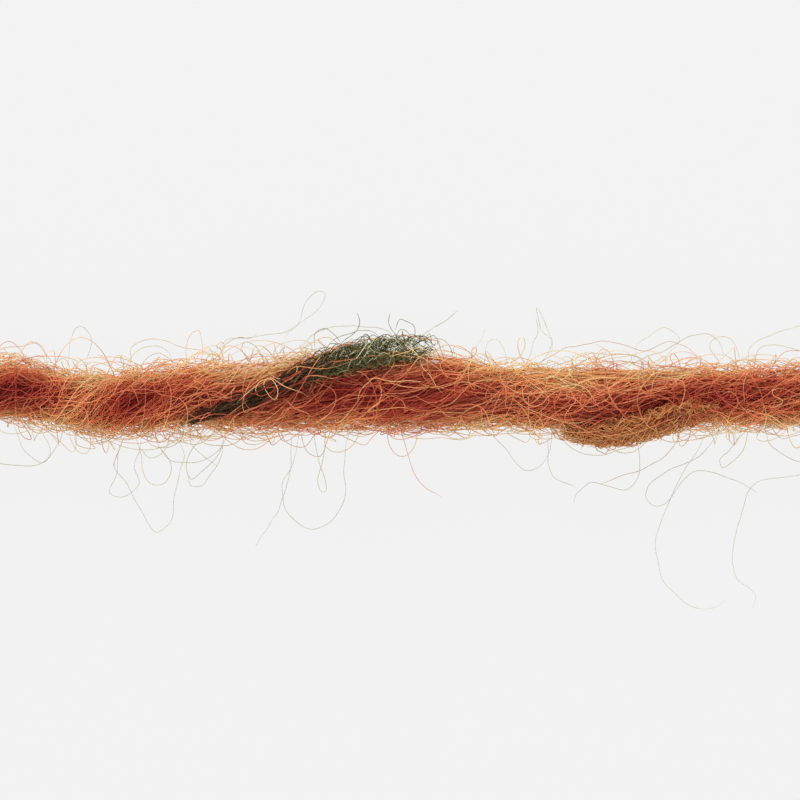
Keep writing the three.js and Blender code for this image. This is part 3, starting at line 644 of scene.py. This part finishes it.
def lay_out_fibres(mesh, count, points):
    """A map with a cell for each fibre, in which its sides lie one above another."""
    columns = max(1, round(math.sqrt(count / CELL_STRETCH)))
    rows = math.ceil(count / columns)
    cell = np.arange(count)
    u = across_cells(cell % columns, columns, CELL_MARGINS[0], np.arange(points) / (points - 1))
    v = across_cells(cell // columns, rows, CELL_MARGINS[1], np.arange(TUBE_SIDES + 1) / TUBE_SIDES)
    low, high = u[:, :-1, None], u[:, 1:, None]
    under, over = v[:, None, :-1], v[:, None, 1:]
    corners = ((low, under), (low, over), (high, over), (high, under))
    quads = np.stack([np.stack(np.broadcast_arrays(*corner), -1) for corner in corners], 3)
    across = np.arange(TUBE_SIDES) / (TUBE_SIDES - 1)
    caps = [
        np.stack((start + across * (end - start), v[:, [0, TUBE_SIDES, 0]]), -1)
        for start, end in ((u[:, :1], u[:, 1:2]), (u[:, -2:-1], u[:, -1:]))
    ]
    places = np.concatenate([part.reshape(-1, 2) for part in (quads, *caps)])
    layer = mesh.uv_layers.new(name="OFBake")
    layer.uv.foreach_set("vector", places.astype(np.float32).ravel())


def fibre_piece(name, paths, thickness, material, shade, depth=0.0, replaced=None):
    """A finished piece of fibres, which rides with the strand."""
    # The depth value is painted shade: how much each fibre is darkened
    mesh = fibre_mesh(name, paths, thickness / MM, {"shade": shade, "depth": depth})
    return finish_piece(name, mesh, material, replaced)


def finish_piece(name, mesh, material, replaced=None):
    mesh.materials.append(material)
    piece = bpy.data.objects.new(name, mesh)
    bpy.context.scene.collection.objects.link(piece)
    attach(piece, "root")
    if replaced:
        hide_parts(replaced)
    return piece


# Materials

def arithmetic(operation, swapped=False):
    """A method that adds a Math node to two values, the second first where they are swapped."""
    def method(self, other):
        first, second = (other, self) if swapped else (self, other)
        return self.nodes.add("ShaderNodeMath", {"operation": operation}, {0: first, 1: second})
    return method


class Signal:
    """A node's output in an expression, where arithmetic adds Math nodes."""

    __add__ = arithmetic("ADD")
    __radd__ = arithmetic("ADD", swapped=True)
    __sub__ = arithmetic("SUBTRACT")
    __rsub__ = arithmetic("SUBTRACT", swapped=True)
    __mul__ = arithmetic("MULTIPLY")
    __rmul__ = arithmetic("MULTIPLY", swapped=True)

    def __init__(self, nodes, socket):
        self.nodes = nodes
        self.socket = socket


class Nodes:
    """The nodes of one material."""

    def __init__(self, name):
        self.material = bpy.data.materials.new(name)
        self.material.use_nodes = True
        self.tree = self.material.node_tree
        self.tree.nodes.clear()

    def add(self, kind, settings=None, inputs=None, output=0):
        """A new node of a kind, with its settings made first and then its sockets."""
        node = self.tree.nodes.new(kind)
        for key, value in (settings or {}).items():
            if key == "stops":
                self.set_stops(node.color_ramp, value)
            else:
                setattr(node, key, value)
        for key, value in (inputs or {}).items():
            if isinstance(value, Signal):
                self.tree.links.new(value.socket, node.inputs[key])
            else:
                node.inputs[key].default_value = value
        return Signal(self, node.outputs[output]) if node.outputs else None

    @staticmethod
    def set_stops(ramp, stops):
        while len(ramp.elements) < len(stops):
            ramp.elements.new(1.0)
        for element, (position, colour) in zip(ramp.elements, stops):
            element.position = position
            element.color = colour

    def attribute(self, name):
        return self.add("ShaderNodeAttribute", {"attribute_name": name}, output="Fac")

    def noise(self, scale, detail=3.0):
        place = self.add("ShaderNodeTexCoord", output="Object")
        return self.add(
            "ShaderNodeTexNoise", {}, {"Vector": place, "Scale": scale, "Detail": detail}
        )

    def ramp(self, stops, place):
        return self.add("ShaderNodeValToRGB", {"stops": stops}, {"Fac": place})

    def mixed(self, share, first, second):
        return self.add(
            "ShaderNodeMix", {"data_type": "RGBA", "blend_type": "MIX"},
            {0: share, 6: first, 7: second}, output=2,
        )

    def surface(self, shader):
        self.add("ShaderNodeOutputMaterial", {}, {"Surface": shader})
        return self.material


def wool_material(name, stops, glows, share, grain=1400.0, fleck=0.16):
    """Wool fibres: each has its own shade, with painted shade deep in the strand, and lets some light
    through.
    """
    nodes = Nodes(name)
    shade = nodes.attribute("shade") + (nodes.noise(grain) - 0.5) * fleck
    wool = nodes.ramp(stops, shade)
    # Painted shade: the depth value darkens the wool towards the deepest stop
    colour = nodes.mixed(nodes.attribute("depth"), wool, tuple(stops[0][1]))
    front = nodes.add("ShaderNodeBsdfPrincipled", {}, {
        "Base Color": colour,
        "Roughness": nodes.noise(5200.0, 2.0) * 0.25 + 0.5,
        "Specular IOR Level": 0.15,
    })
    red, pale = [
        nodes.add("ShaderNodeBsdfTranslucent", {}, {"Color": tuple(glow)}) for glow in glows
    ]
    behind = nodes.add("ShaderNodeMixShader", {}, {0: shade, 1: red, 2: pale})
    shader = nodes.add("ShaderNodeMixShader", {}, {0: share, 1: front, 2: behind})
    return nodes.surface(shader)


def evenly(*colours):
    """Ramp stops at even distances."""
    return [(i / (len(colours) - 1), tuple(colour)) for i, colour in enumerate(colours)]


def strand_stops(c):
    return evenly(c.wine, c.crimson, c.rust, c.orange, c.gold, c.straw, c.cream)


def strand_wool(name, share, loose=False):
    c = bpy.context.scene.yarn_colours
    return wool_material(name, strand_stops(c), (c.ember if loose else c.glow, c.pale_glow), share)


# Operators

class YARN_OT_core(bpy.types.Operator):
    """Make the dense core of the strand, which carries every fibre"""

    bl_idname = "yarn.core"
    bl_label = "Core"

    segments = 56
    sections = 300
    share = 0.57
    shade = 0.23
    path_points = 40
    streak_scale = 1600.0
    streak_strength = 0.5
    grain_scale = 9000.0
    grain_height = 0.03

    def execute(self, context):
        bm = bmesh.new()
        bmesh.ops.create_cone(
            bm, cap_ends=True, segments=self.segments, radius1=1, radius2=1,
            depth=2 * HALF_LENGTH,
        )
        lengthwise = [e for e in bm.edges if abs(e.verts[0].co.z - e.verts[1].co.z) > 1]
        bmesh.ops.subdivide_edges(bm, edges=lengthwise, cuts=self.sections, use_grid_fill=True)
        unshaped = np.array([v.co[:] for v in bm.verts])
        x, angle = unshaped[:, 2], np.arctan2(unshaped[:, 1], unshaped[:, 0])
        radius = clear_of_slubs(x, angle, self.share * surface_radius(x, angle))
        points = round_strand(x, radius, angle, 0.0) * MM
        for vertex, point in zip(bm.verts, points):
            vertex.co = point
        bmesh.ops.recalc_face_normals(bm, faces=bm.faces)
        for face in bm.faces:
            face.smooth = True
        mesh = bpy.data.meshes.new("core")
        bm.to_mesh(mesh)
        bm.free()
        add_values(mesh, "shade", self.shade + tint_at(x, angle))
        core = finish_piece("core", mesh, self.material(context), "strand")
        self.declare(core)
        return {"FINISHED"}

    def material(self, context):
        nodes = Nodes("core_wool")
        streaks = (nodes.noise(self.streak_scale, 4.0) - 0.5) * self.streak_strength
        tone = nodes.ramp(
            strand_stops(context.scene.yarn_colours), nodes.attribute("shade") + streaks
        )
        grain = nodes.noise(self.grain_scale, 2.0)
        bump = nodes.add("ShaderNodeBump", {}, {
            "Strength": 0.6, "Distance": self.grain_height * MM, "Height": grain,
        })
        shader = nodes.add("ShaderNodeBsdfPrincipled", {}, {
            "Base Color": tone,
            "Roughness": grain * 0.2 + 0.7,
            "Normal": bump,
        })
        return nodes.surface(shader)

    def declare(self, core):
        x = np.linspace(-HALF_LENGTH, HALF_LENGTH, self.path_points)
        path = np.stack((x, along(STATIONS, "across", x), axis_height(x)), 1) * MM


def beside_axis(angle):
    """How far aside a place lies, which weights the painted side light: none on top, one at the widest,
    and less again underneath.
    """
    return np.cos(angle) ** 2 * (0.4 + 0.6 * smoothstep(np.sin(angle), -0.6, 0.0))


def lie_along(random, thickness, count, points, length, straying, share, crimp, inward=None):
    """Locks of fibres that lie in the strand's surface and follow its twist, more or less straight.

    The share is how deep they lie, from the axis out. With an inward value most of them lie deep,
    and each has its own draw for whether it passes over a slub.
    """
    reach = random.uniform(*length, (count, 1))
    margin = HALF_LENGTH - LOCK_MARGIN
    middle = shared(random, -margin, margin, count, LOCK_SIZE)
    middle = middle + random.normal(0, LOCK_SPREAD, (count, 1))
    step = np.linspace(-0.5, 0.5, points)[None]
    slope = np.tan(random.normal(0, math.radians(straying), (count, 1)))
    limit = HALF_LENGTH + random.uniform(*PAST_THE_END, (count, 1))
    first = np.clip(middle - reach / 2, -limit, limit - SHORTEST_FIBRE)
    last = np.clip(middle + reach / 2, SHORTEST_FIBRE - limit, limit)
    x = (first + last) / 2 + (last - first) * step
    around = slope * (x - middle) + waves(random, x, crimp, LONG_WAVES, LOCK_SIZE)
    around = around + waves(random, x, SHORT_CRIMP * crimp, SHORT_WAVES)
    start = shared(random, 0, FULL_TURN, count, LOCK_SIZE) + random.normal(0, LOCK_TURN, (count, 1))
    angle = start - twist(x) + around / mean_radius(x)
    depth = share[0] + (share[1] - share[0]) * random.uniform(0, 1, (count, 1)) ** (inward or 1)
    radius = surface_radius(x, angle) * depth
    radius = radius + waves(random, x, DEPTH_CRIMP, DEPTH_WAVES, LOCK_SIZE)
    draw = random.uniform(0, 1, (count, 1)) if inward else 1.0
    radius = clear_of_slubs(x, angle, radius, draw)
    paths = round_strand(x, radius, angle, thickness / MM / 2)
    lock = shared(random, -LOCK_SHIFT, LOCK_SHIFT, count, LOCK_SIZE)
    return paths, tint_at(x, angle) + lock, beside_axis(angle), depth


class YARN_OT_inner_fibres(bpy.types.Operator):
    """Lay the fibres that lie close to the core"""

    bl_idname = "yarn.inner_fibres"
    bl_label = "Inner fibres"

    shade = 0.22
    # Painted light: how much paler the sides are drawn
    painted_side_light = 0.2
    shade_spread = 0.04
    # Painted shade: how much darker the fibres that lie deep in the strand are drawn
    painted_shade_from = 0.7
    painted_shade_rate = 1.5
    strongest_painted_shade = 0.3

    def execute(self, context):
        sizes = context.scene.yarn_sizes
        random = np.random.default_rng(sizes.seed)
        paths, tint, beside, depth = lie_along(
            random, sizes.fibre, sizes.inner, points=10, length=(4.0, 7.0), straying=4,
            share=(0.49, 0.69), crimp=0.08,
        )
        own = random.normal(0, self.shade_spread, (sizes.inner, 1))
        # Painted light: fibres at the sides are drawn paler, as if lit through from behind
        shade = self.shade + tint + self.painted_side_light * beside + own
        # Painted shade: the deeper a fibre lies, the darker it is drawn
        deep = np.clip((self.painted_shade_from - depth) * self.painted_shade_rate, 0, self.strongest_painted_shade)
        wool = strand_wool("inner_wool", share=0.45)
        fibre_piece("inner_fibres", paths, sizes.fibre, wool, shade, deep)
        return {"FINISHED"}


class YARN_OT_outer_fibres(bpy.types.Operator):
    """Lay the fibres on the outside of the strand"""

    bl_idname = "yarn.outer_fibres"
    bl_label = "Outer fibres"

    shade = 0.24
    # Painted light: how much paler the sides are drawn
    painted_side_light = 0.52
    shade_spread = 0.05
    # A few golden fibres, drawn pale so that they also serve as painted glints
    golden_glint_share = 0.07
    golden_glint_shift = 0.3
    # Painted shade: how much darker the fibres that lie deep in the strand are drawn
    painted_shade_from = 0.88

    def execute(self, context):
        sizes = context.scene.yarn_sizes
        random = np.random.default_rng(sizes.seed + 1)
        paths, tint, beside, depth = lie_along(
            random, sizes.fibre, sizes.outer, points=14, length=(2.8, 6.0), straying=9,
            share=(0.59, 0.88), crimp=0.19, inward=2.2,
        )
        own = random.normal(0, self.shade_spread, (sizes.outer, 1))
        # Painted light: fibres at the sides are drawn paler, as if lit through from behind
        shade = self.shade + tint + self.painted_side_light * beside + own
        # Golden fibres in the blend, which are also painted glints
        golden = random.uniform(0, 1, (sizes.outer, 1)) < self.golden_glint_share
        shade = shade + self.golden_glint_shift * golden
        # Painted shade: the deeper a fibre lies, the darker it is drawn
        deep = np.clip(self.painted_shade_from - depth, 0, 1)
        wool = strand_wool("outer_wool", share=0.5)
        fibre_piece("outer_fibres", paths, sizes.fibre, wool, shade, deep)
        return {"FINISHED"}


def stand_off(random, sizes, count, points, length, straying, crimp, curl=0.0):
    """Loose fibres rooted in the strand at both ends, which rise off it between them."""
    lift = sizes.fuzz_lift / MM
    margin = HALF_LENGTH - FUZZ_MARGIN
    reach = random.uniform(*length, (count, 1))
    middle = random.uniform(-margin, margin, (count, 1))
    step = np.linspace(-0.5, 0.5, points)[None]
    heading = random.normal(0, math.radians(straying), (count, 1))
    distance = reach * (step + 0.5)
    x = middle + reach * step * np.cos(heading) + waves(random, distance, crimp, FUZZ_WAVES)
    around = reach * step * np.sin(heading) + waves(random, distance, crimp * 1.4, FUZZ_WAVES)
    height = random.gamma(FUZZ_SHAPE, lift / FUZZ_SHAPE, (count, 1))
    arch = np.sin((step + 0.5) * math.pi) ** FUZZ_ARCH
    out = np.minimum(height, FUZZ_LIMIT * lift) * arch
    out = out + waves(random, distance, crimp * 0.7, FUZZ_LIFT_WAVES) * arch
    if curl:
        size = random.uniform(*CURL_SIZE, (count, 1)) * curl
        turns = random.uniform(*CURL_TURNS, (count, 1)) * random.choice((-1, 1), (count, 1))
        start = random.uniform(0, FULL_TURN, (count, 1))
        phase = turns * FULL_TURN * step + start
        x = x + size * np.cos(phase)
        upright = random.uniform(0, 1, (count, 1))
        around = around + size * np.sin(phase) * np.sqrt(1 - upright ** 2)
        out = out + size * (1 + np.sin(phase)) * upright * arch
    start = random.uniform(0, FULL_TURN, (count, 1))
    angle = start - twist(x) + around / mean_radius(x)
    radius = surface_radius(x, angle) * FUZZ_ROOT + np.maximum(out, -FUZZ_SINK)
    paths = round_strand(x, radius, angle, sizes.hair / MM / 2)
    beside = beside_axis(angle)
    # Painted light: loose fibres at the sides, and more those that stand high, are drawn paler as if lit
    # from behind
    painted_edge_light = FUZZ_PAINTED_SIDE_LIGHT * beside * (1 + FUZZ_PAINTED_LIFT_LIGHT * smoothstep(out, *FUZZ_TOP))
    own = random.normal(0, 1, (count, 1)) * (FUZZ_SPREAD + FUZZ_SIDE_SPREAD * beside)
    return paths, FUZZ_TINT * tint_at(x, angle) + painted_edge_light + own


class YARN_OT_fuzz(bpy.types.Operator):
    """Raise the loose arcs and curls of fibre that stand off the strand"""

    bl_idname = "yarn.fuzz"
    bl_label = "Fuzz"

    shade = 0.36

    def execute(self, context):
        sizes = context.scene.yarn_sizes
        random = np.random.default_rng(sizes.seed + 2)
        arcs = stand_off(
            random, sizes, sizes.fuzz, points=19, length=(1.4, 4.6), straying=20, crimp=0.16
        )
        curls = stand_off(
            random, sizes, sizes.curls, points=27, length=(1.0, 3.2), straying=60, crimp=0.1,
            curl=0.42,
        )
        for name, (paths, tint) in (("fuzz", arcs), ("curls", curls)):
            wool = strand_wool(name + "_wool", share=0.5, loose=True)
            fibre_piece(name, paths, sizes.hair, wool, self.shade + tint)
        return {"FINISHED"}


def fill_slub(random, thickness, rows, reached, packing, count, points, length, curl, loosened):
    """Fibres that fill a slub's lens: straight at first, and curled past where it is loosened.

    They lie between the two places reached, packed as a beta curve has it, and loosen between
    two others.
    """
    first, last = reached
    middle = first + (last - first) * random.beta(*packing, (count, 1))
    room = np.minimum(middle - first, last - middle) + random.uniform(*SLUB_ROOM, (count, 1))
    longest = 2 * np.maximum(room, LEAST_ROOM)
    reach = np.clip(random.uniform(*length, (count, 1)), SHORTEST_CURL, longest)
    loose = LEAST_LOOSE + (1 - LEAST_LOOSE) * smoothstep(middle, *loosened)
    step = np.linspace(-0.5, 0.5, points)[None]
    distance = reach * (step + 0.5)
    x = middle + reach * step
    slub_angle, radius, wide, deep = slub_section(rows, x)
    wide = wide * (SLUB_FILL + LOOSE_FILL * loose)
    spot = random.uniform(0, FULL_TURN, (count, 1))
    share = np.sqrt(random.uniform(0, 1, (count, 1)))
    turns = random.uniform(*SLUB_TURNS, (count, 1)) * reach
    phase = turns * FULL_TURN * (step + 0.5) * random.choice((-1, 1), (count, 1)) + spot
    size = random.uniform(*SLUB_CURLS, (count, 1)) * curl * loose
    beside = wide * share * np.cos(spot) + size * np.cos(phase)
    beside = beside + waves(random, distance, curl * loose, SLUB_WAVES)
    out = deep * share * np.sin(spot) + 0.8 * size * np.sin(phase)
    out = out + waves(random, distance, 0.6 * curl * loose, SLUB_LIFT_WAVES)
    x = x + 0.7 * size * np.sin(phase * 0.8)
    paths = round_strand(x, radius + out, slub_angle - beside / radius, thickness / MM / 2)
    return paths, loose


class YARN_OT_green_slub(bpy.types.Operator):
    """Make the tuft of curled green wool that is wound round the strand, and its hairs"""

    bl_idname = "yarn.green_slub"
    bl_label = "Green slub"

    shade = -0.06
    loose_shade = 0.62
    shade_spread = 0.1
    pale_share = 0.26
    pale_shift = 0.35
    hair_lift = 0.1
    hair_shade = 0.7
    hair_contrast = 0.3

    def execute(self, context):
        sizes, c = context.scene.yarn_sizes, context.scene.yarn_colours
        random = np.random.default_rng(sizes.seed + 3)
        stops = evenly(c.soot, c.bark, c.moss, c.sage, c.mist)
        wool = wool_material(
            "green_wool", stops, (c.moss, c.mist), share=0.3, grain=5000.0, fleck=0.5
        )
        paths, loose = fill_slub(
            random, sizes.fibre, GREEN_SLUB, reached=(-6.5, 1.0), packing=(1.7, 1.5),
            count=sizes.green, points=30, length=(1.0, 2.8), curl=0.16, loosened=(-3.6, -0.8),
        )
        own = random.normal(0, self.shade_spread, loose.shape)
        shade = self.loose_shade * loose + self.shade + own
        pale = random.uniform(0, 1, loose.shape) < self.pale_share
        shade = shade + self.pale_shift * loose * pale
        fibre_piece(
            "green_tuft", paths, sizes.hair, wool, shade, replaced="green_slub"
        )
        paths, shades = hair_paths(random, GREEN_HAIRS, self.hair_lift)
        shades = self.hair_shade + self.hair_contrast * shades
        fibre_piece("green_hairs", paths, sizes.hair, wool, shades)
        return {"FINISHED"}


class YARN_OT_ochre_slub(bpy.types.Operator):
    """Make the lump of ochre wool on the lower edge of the strand"""

    bl_idname = "yarn.ochre_slub"
    bl_label = "Ochre slub"

    shade = 0.5
    shade_spread = 0.18

    def execute(self, context):
        sizes, c = context.scene.yarn_sizes, context.scene.yarn_colours
        random = np.random.default_rng(sizes.seed + 4)
        stops = evenly(c.umber, c.ochre, c.honey)
        wool = wool_material("ochre_wool", stops, (c.ochre, c.pale_glow), share=0.6)
        paths, _ = fill_slub(
            random, sizes.fibre, OCHRE_SLUB, reached=(4.9, 9.3), packing=(2.3, 2.1),
            count=sizes.ochre, points=20, length=(1.2, 3.0), curl=0.14, loosened=(4.0, 7.0),
        )
        shade = self.shade + random.normal(0, self.shade_spread, (sizes.ochre, 1))
        fibre_piece(
            "ochre_tuft", paths, sizes.fibre, wool, shade, replaced="ochre_slub"
        )
        return {"FINISHED"}


def draped(x, y, lift):
    """How high a hair lies at a place: over the strand, and fallen to the surface beside it."""
    radius = mean_radius(x)
    beside = y - along(STATIONS, "across", x)
    fallen = smoothstep(np.abs(beside) - radius, 0, HAIR_FALL)
    angle = np.arccos(np.clip(beside / radius, -1, 1))
    for rows, _ in SLUBS:
        radius = np.maximum(radius, slub_sides(rows, x, angle)[1])
    over = np.sqrt(np.maximum(radius ** 2 - beside ** 2, 0))
    return (axis_height(x) + lift) * (1 - fallen) + HAIR_OVER * over


def hair_paths(random, hairs, lift):
    """The paths and shades of a list of hairs, with the ends that lie over the strand sunk into it."""
    paths = []
    for _, *places in hairs:
        places = np.array(places, float)
        passed = np.concatenate(((0,), np.cumsum(np.linalg.norm(np.diff(places, axis=0), axis=1))))
        route = {"x": passed, "across": places[:, 0], "upward": places[:, 1]}
        distance = np.linspace(0, passed[-1], HAIR_POINTS)[None]
        x = along(route, "across", distance) + waves(random, distance, HAIR_CRIMP, HAIR_WAVES)
        y = along(route, "upward", distance) + waves(random, distance, HAIR_CRIMP, HAIR_WAVES)
        rooted = 1 - smoothstep(np.minimum(distance, passed[-1] - distance), 0, HAIR_ROOT)
        inside = np.abs(y - along(STATIONS, "across", x)) < HAIR_INSIDE * mean_radius(x)
        z = draped(x, y, lift) - (lift + HAIR_SINK) * rooted * inside
        z = z + waves(random, distance, HAIR_LIFT_CRIMP, HAIR_LIFT_WAVES)
        paths.append(np.stack((x, y, np.maximum(z, HAIR_REST)), -1)[0])
    return np.array(paths), np.array([[hair[0]] for hair in hairs])


class YARN_OT_stray_hairs(bpy.types.Operator):
    """Draw out the long hairs and loops that stray from the strand"""

    bl_idname = "yarn.stray_hairs"
    bl_label = "Stray hairs"

    stray_lift = 0.02
    front_lift = 0.12

    def execute(self, context):
        sizes, c = context.scene.yarn_sizes, context.scene.yarn_colours
        random = np.random.default_rng(sizes.seed + 5)
        paths, shades = hair_paths(random, STRAY_HAIRS, self.stray_lift)
        stops = evenly(c.rust, c.blush, c.sand, c.reed, c.ash)
        wool = wool_material("hair_wool", stops, (c.blush, c.ash), share=0.3)
        fibre_piece("stray_hairs", paths, sizes.hair, wool, shades)
        paths, shades = hair_paths(random, FRONT_HAIRS, self.front_lift)
        wool = strand_wool("front_wool", share=0.4, loose=True)
        fibre_piece("front_hairs", paths, sizes.fibre, wool, shades)
        return {"FINISHED"}


class YARN_OT_stage(bpy.types.Operator):
    """Lay the pale floor and place the lights and the camera"""

    bl_idname = "yarn.stage"
    bl_label = "Stage"

    # In metres, but for the centre of the view and the sensor, in millimetres
    floor_reach = 0.4
    key_place = (-0.03, 0.19, 0.08)
    key_size = 0.1
    fill_place = (0.04, -0.12, 0.14)
    fill_size = 0.16
    fill_share = 0.2
    view_centre_y = -0.2
    sensor = 36.0
    nearest = 0.002
    farthest = 5.0

    def execute(self, context):
        stage = context.scene.yarn_stage
        self.floor(context, stage)
        self.light(context, "key", self.key_place, self.key_size, stage.key)
        self.light(context, "fill", self.fill_place, self.fill_size, stage.key * self.fill_share)
        world = bpy.data.worlds.new("sky")
        world.use_nodes = True
        background = world.node_tree.nodes["Background"]
        background.inputs["Color"].default_value = (1.0, 1.0, 1.0, 1.0)
        background.inputs["Strength"].default_value = stage.sky
        context.scene.world = world
        context.scene.view_settings.view_transform = "Standard"
        self.camera(context, stage)
        return {"FINISHED"}

    def floor(self, context, stage):
        bm = bmesh.new()
        bmesh.ops.create_grid(bm, x_segments=1, y_segments=1, size=self.floor_reach)
        mesh = bpy.data.meshes.new("floor")
        bm.to_mesh(mesh)
        bm.free()
        nodes = Nodes("pale_floor")
        tone = stage.floor_tone
        shader = nodes.add("ShaderNodeBsdfPrincipled", {}, {
            "Base Color": (tone, tone, tone, 1.0),
            "Roughness": 0.9,
            "Specular IOR Level": 0.0,
            "Emission Color": (1.0, 1.0, 1.0, 1.0),
            "Emission Strength": stage.floor_glow,
        })
        mesh.materials.append(nodes.surface(shader))
        floor = bpy.data.objects.new("floor", mesh)
        context.scene.collection.objects.link(floor)

    def light(self, context, name, place, size, power):
        lamp = bpy.data.lights.new(name, "AREA")
        lamp.size = size
        lamp.energy = power
        light = bpy.data.objects.new(name, lamp)
        light.location = place
        away = -light.location.normalized()
        light.rotation_euler = away.to_track_quat("-Z", "Y").to_euler()
        context.scene.collection.objects.link(light)

    def camera(self, context, stage):
        lens = bpy.data.cameras.new("camera")
        lens.sensor_width = self.sensor
        lens.lens = stage.lens
        lens.clip_start = self.nearest
        lens.clip_end = self.farthest
        camera = bpy.data.objects.new("camera", lens)
        distance = stage.view_width * stage.lens / self.sensor
        camera.location = (0.0, self.view_centre_y * MM, distance + MM)
        context.scene.collection.objects.link(camera)
        context.scene.camera = camera


class YARN_PT_panel(bpy.types.Panel):
    """The yarn's settings and the pieces that it is made of"""

    bl_idname = "YARN_PT_panel"
    bl_label = "Yarn"
    bl_space_type = "VIEW_3D"
    bl_region_type = "UI"
    bl_category = "Yarn"

    def draw(self, context):
        for group in (context.scene.yarn_sizes, context.scene.yarn_colours, context.scene.yarn_stage):
            box = self.layout.box()
            for name in group.__annotations__:
                box.prop(group, name)
        for operator in PIECES:
            self.layout.operator(operator.bl_idname)


PIECES = (
    YARN_OT_stage,
    YARN_OT_core,
    YARN_OT_inner_fibres,
    YARN_OT_outer_fibres,
    YARN_OT_fuzz,
    YARN_OT_green_slub,
    YARN_OT_ochre_slub,
    YARN_OT_stray_hairs,
)
GROUPS = {"yarn_sizes": YarnSizes, "yarn_colours": YarnColours, "yarn_stage": YarnStage}
CLASSES = (*GROUPS.values(), *PIECES, YARN_PT_panel)


def register():
    for cls in CLASSES:
        bpy.utils.register_class(cls)
    for name, group in GROUPS.items():
        setattr(bpy.types.Scene, name, bpy.props.PointerProperty(type=group))


def unregister():
    for name in GROUPS:
        delattr(bpy.types.Scene, name)
    for cls in reversed(CLASSES):
        bpy.utils.unregister_class(cls)


def main():
    register()
    for operator in PIECES:
        family, name = operator.bl_idname.split(".")
        getattr(getattr(bpy.ops, family), name)()


if __name__ == "__main__":
    main()
